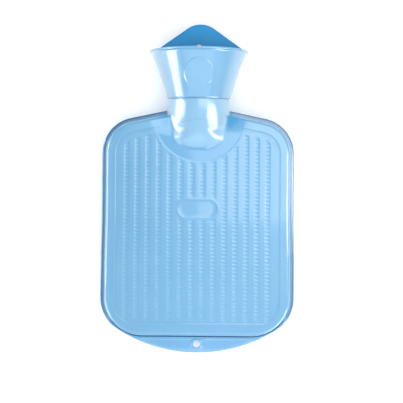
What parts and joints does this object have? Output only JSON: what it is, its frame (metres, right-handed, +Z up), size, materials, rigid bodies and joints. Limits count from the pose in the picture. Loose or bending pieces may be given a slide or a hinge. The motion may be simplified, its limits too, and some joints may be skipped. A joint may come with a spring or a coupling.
{
  "type": "hot water bottle",
  "caption": "Small soft hot water bottle with a flared filling funnel, ribbed bladder, hanging tab and a screw stopper with a wing grip.",
  "frame": {"origin": "on the surface that the bottle lies on, under the centre of its bounding box", "axes": "+Y from the hanging tab towards the stopper, +X across to the right as the front is seen, +Z up out of the front"},
  "size_m": [0.1508, 0.2546, 0.0773],
  "materials": {
    "soft_body": "gloss",
    "hard_insert": "gloss",
    "seal": "matte",
    "hard_stopper": "gloss"
  },
  "bodies": {
    "bottle": {"bottle": "soft_body", "neck_insert": "hard_insert"},
    "washer": {"sealing_washer": "seal"},
    "stopper": {"stopper": "hard_stopper"}
  },
  "joints": [
    {"name": "stopper_travel", "type": "slide", "parent": "bottle", "child": "washer", "axis": [0, 0.9949, 0.1005], "range_m": [0, 0.012]},
    {"name": "stopper_turn", "type": "hinge", "parent": "washer", "child": "stopper", "pos_m": [0, 0.06966, 0.03502], "axis": [0, 0.9949, 0.1005], "range_deg": [0, 1080]}
  ],
  "couplings": [
    {"joint": "stopper_travel", "follows": "stopper_turn", "m_per_rad": 0.0006366}
  ]
}
